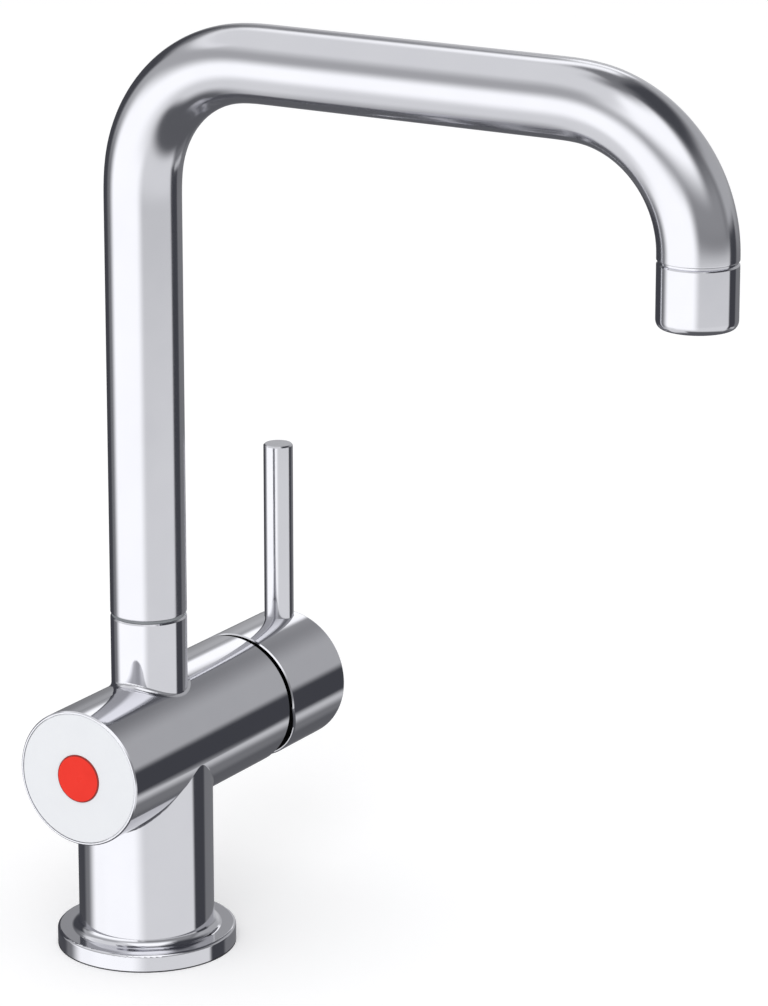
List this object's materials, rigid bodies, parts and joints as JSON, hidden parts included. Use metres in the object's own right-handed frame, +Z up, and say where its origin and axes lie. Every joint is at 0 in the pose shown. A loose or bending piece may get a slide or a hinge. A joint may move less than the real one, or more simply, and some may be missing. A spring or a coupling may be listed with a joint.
{
  "type": "sensor kitchen tap",
  "caption": "Chromed kitchen mixer tap with a round column, a level barrel, a sensor window, a side rod lever that turns and tilts, and a tall swivel spout with an aerator.",
  "frame": {"origin": "centre of the flange's underside, on the column's axis, at deck level", "axes": "+Z up the column, -Y along the spout at rest, +X along the barrel from the sensor end to the lever end"},
  "size_m": [0.1276, 0.24, 0.311],
  "materials": {
    "chrome_plate": "bright chrome plate on cast and drawn brass",
    "pale_face": "smooth moulded, pale grey white",
    "red_window": "polished red filter plastic",
    "black_plastic": "moulded, fine matt",
    "grey_plastic": "moulded, satin",
    "turned_brass": "turned, unplated",
    "bright_steel": "turned stainless steel",
    "seal_rubber": "moulded, matt",
    "ceramic": "lapped alumina ceramic",
    "circuit_board": "solder-masked laminate",
    "copper": "enamelled copper wire and tinned pins",
    "diode_resin": "cast resin"
  },
  "bodies": {
    "tap": {"tap_body": "chrome_plate", "base_gasket": "seal_rubber", "lead_grommet": "seal_rubber", "sensor_face": "pale_face", "sensor_window": "red_window", "face_seal": "seal_rubber", "sensor_cup": "black_plastic", "sensor_board": "circuit_board", "led_holder": "black_plastic", "ir_emitter": "diode_resin", "ir_receiver": "diode_resin", "coil_pins": "copper", "coil_bobbin": "black_plastic", "coil_winding": "copper", "coil_yoke": "bright_steel", "guide_tube": "bright_steel", "fixed_core": "bright_steel", "plunger_spring": "bright_steel", "diaphragm": "seal_rubber", "cartridge_base": "black_plastic", "cartridge_seals": "seal_rubber", "fixed_disc": "ceramic", "cartridge_housing": "black_plastic", "retaining_nut": "turned_brass", "cover_sleeve": "black_plastic", "slide_ring": "black_plastic", "stop_screw": "bright_steel"},
    "spout": {"spout_tube": "chrome_plate", "spout_spigot": "turned_brass", "spigot_seals": "seal_rubber", "outlet_nipple": "chrome_plate", "aerator_housing": "chrome_plate", "aerator_insert": "grey_plastic", "jet_plate": "grey_plastic", "aerator_washer": "seal_rubber"},
    "turning": {"turning_collar": "black_plastic", "pivot_pin": "bright_steel"},
    "handle": {"stem": "bright_steel", "handle_hub": "chrome_plate", "lever_rod": "chrome_plate", "hub_screw": "bright_steel", "hub_plug": "black_plastic"},
    "mixing_disc": {"moving_disc": "ceramic", "disc_slider": "grey_plastic"},
    "plunger": {"plunger": "bright_steel"}
  },
  "joints": [
    {"name": "spout_swivel", "type": "hinge", "parent": "tap", "child": "spout", "pos_m": [0.0035, 0, 0.1125], "axis": [0, 0, 1], "range_deg": [-70, 70]},
    {"name": "temperature_turn", "type": "hinge", "parent": "tap", "child": "turning", "pos_m": [0.05, 0, 0.068], "axis": [1, 0, 0], "range_deg": [-45, 45]},
    {"name": "flow_tilt", "type": "hinge", "parent": "turning", "child": "handle", "pos_m": [0.05, 0, 0.068], "axis": [0, 1, 0], "range_deg": [0, 18]},
    {"name": "disc_slide", "type": "slide", "parent": "turning", "child": "mixing_disc", "axis": [0, 0, 1], "range_m": [0, 0.0029]},
    {"name": "plunger_lift", "type": "slide", "parent": "tap", "child": "plunger", "axis": [-1, 0, 0], "range_m": [0, 0.0014], "stiffness_N_per_m": 150, "springref_m": -0.003, "deforming": ["plunger_spring"]}
  ],
  "couplings": [
    {"joint": "disc_slide", "follows": "flow_tilt", "m_per_rad": 0.009}
  ]
}
